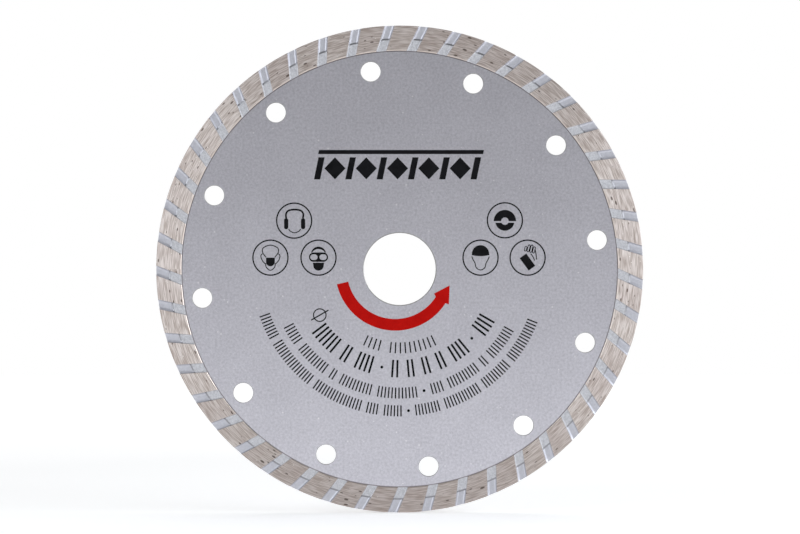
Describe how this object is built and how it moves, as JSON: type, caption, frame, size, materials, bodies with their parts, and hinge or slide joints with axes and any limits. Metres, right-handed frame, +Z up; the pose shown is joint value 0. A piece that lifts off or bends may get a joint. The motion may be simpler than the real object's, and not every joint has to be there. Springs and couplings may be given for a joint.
{
  "type": "diamond blade",
  "caption": "Turbo diamond cutting disc: thin steel core with a round bore and cooling holes, silver lacquer, and a sintered diamond rim with slanted grooves on both faces.",
  "frame": {"origin": "centre of the bore, at the blade's mid-thickness", "axes": "+Y along the spin axis towards the back, so the printed front face looks towards -Y; +Z up and +X to the right as the front face is looked at. The blade turns anticlockwise as its front is looked at."},
  "size_m": [0.1499, 0.0022, 0.1499],
  "materials": {
    "steel": "rolled and ground, bare in the bore and the cooling holes",
    "bond": "sintered metal bond, lands ground, taupe with fine scratches along the rim",
    "diamond": "synthetic diamond grit, dark and glinting",
    "lacquer": "silver metallic lacquer, fine-grained satin"
  },
  "bodies": {
    "root": {"steel_core": "steel", "diamond_rim": "bond", "diamond_grit": "diamond", "lacquer_front": "lacquer", "lacquer_back": "lacquer"}
  },
  "joints": []
}
